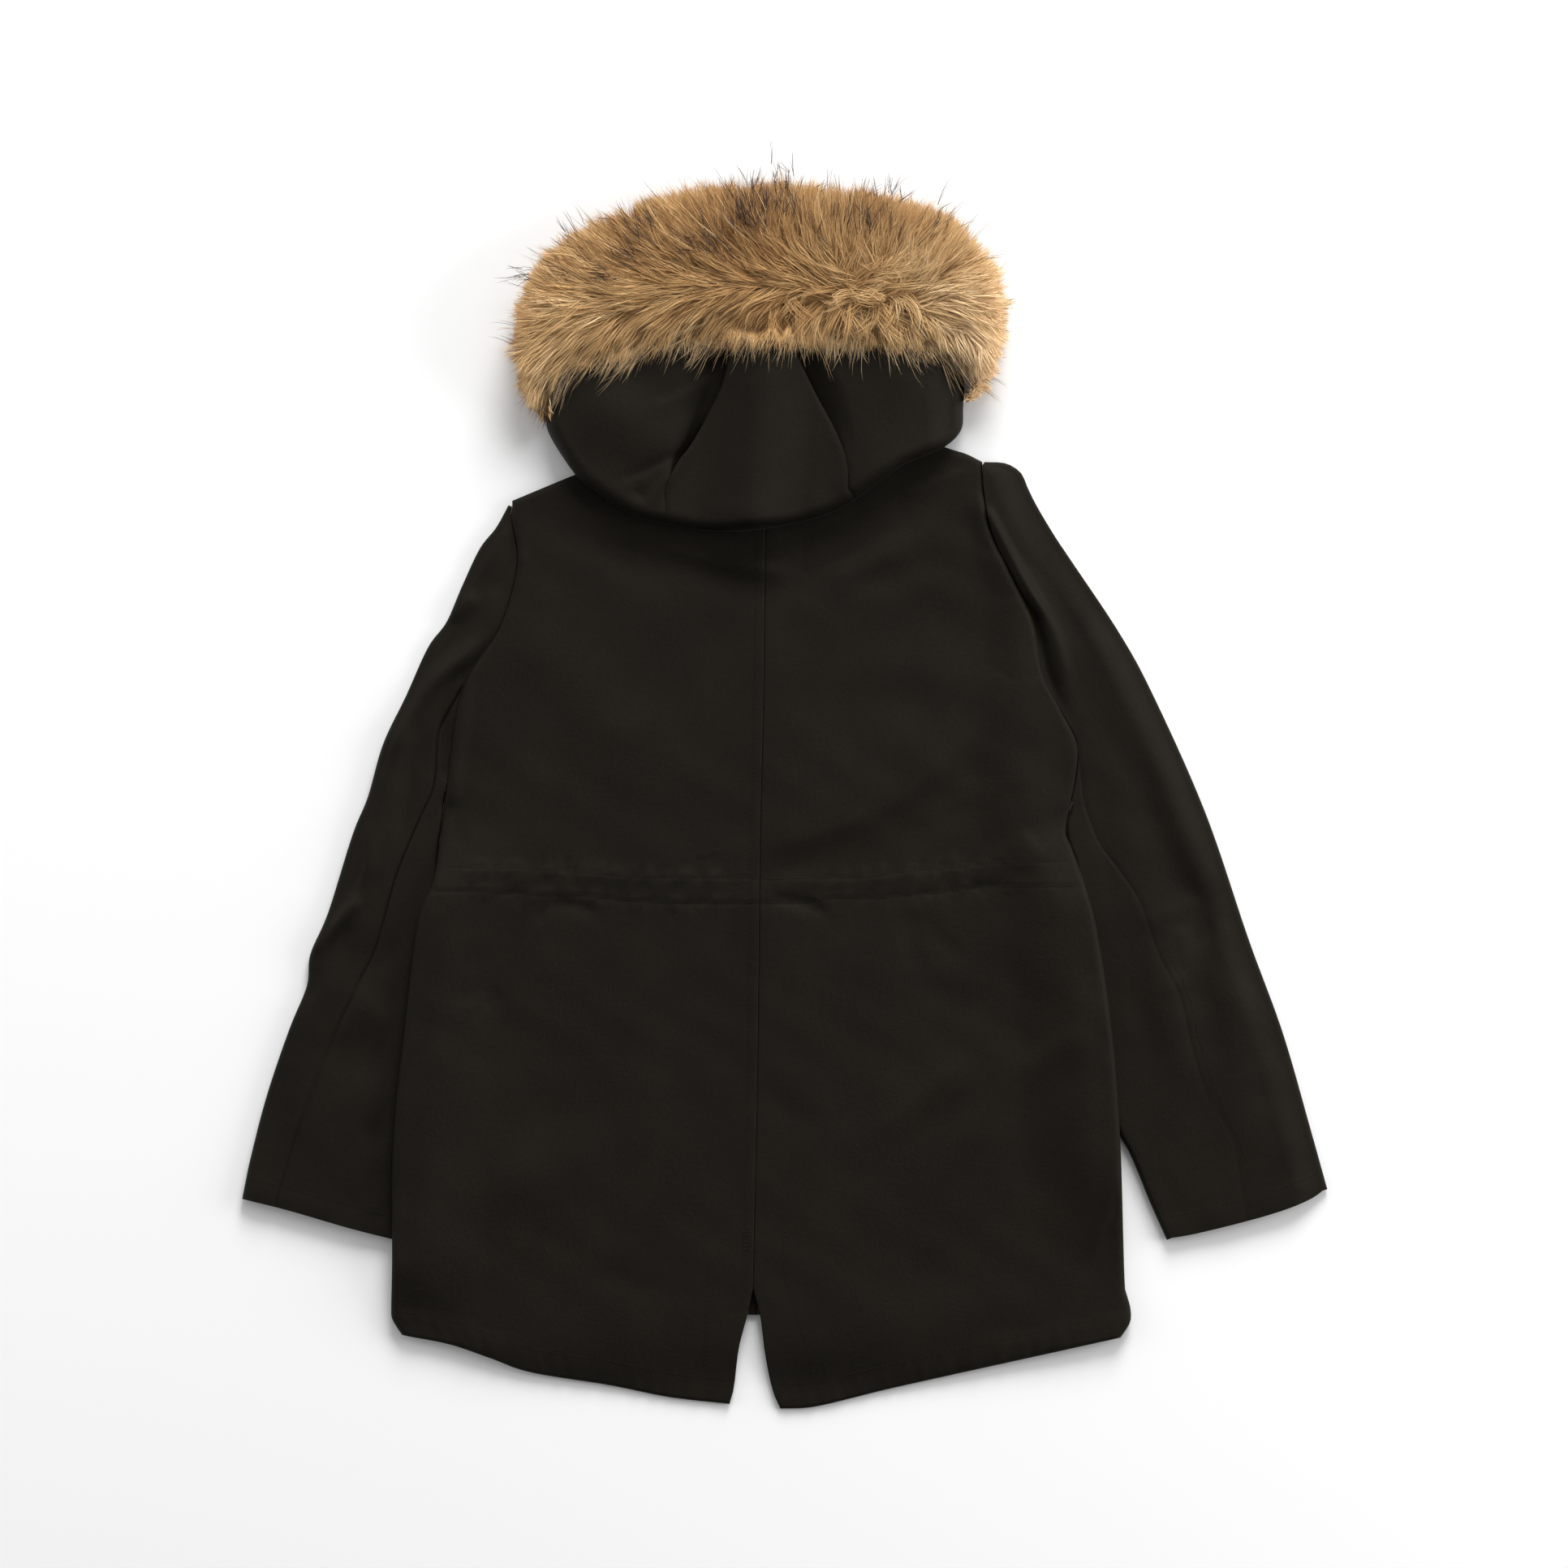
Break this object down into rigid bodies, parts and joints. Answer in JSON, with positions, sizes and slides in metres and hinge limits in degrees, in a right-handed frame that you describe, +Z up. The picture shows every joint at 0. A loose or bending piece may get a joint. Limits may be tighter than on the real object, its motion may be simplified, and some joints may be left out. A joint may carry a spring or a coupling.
{
  "type": "fur trimmed parka",
  "caption": "Dark cotton hooded parka with a tan fur ruff on the hood, drawn waist, fishtail hem with a back vent and long sleeves, laid out flat with its back upwards",
  "frame": {"origin": "on the surface the coat lies on, below the middle of its outline", "axes": "+X to the right as seen from above, +Y from the hem towards the hood, +Z up, away from the surface"},
  "size_m": [0.9232, 1.0449, 0.0695],
  "materials": {
    "dark_cotton": "matt brushed cotton, dark olive brown",
    "zip_tape": "matt woven tape with moulded teeth",
    "tan_fur": "long soft faux fur, golden tan"
  },
  "bodies": {
    "root": {"back_left": "dark_cotton", "back_right": "dark_cotton", "front_left": "dark_cotton", "front_right": "dark_cotton", "front_zip": "zip_tape", "left_top_sleeve": "dark_cotton", "left_under_sleeve": "dark_cotton", "right_top_sleeve": "dark_cotton", "right_under_sleeve": "dark_cotton", "hood_left": "dark_cotton", "hood_centre": "dark_cotton", "hood_right": "dark_cotton", "hood_under": "dark_cotton", "fur_ruff": "tan_fur"}
  },
  "joints": []
}
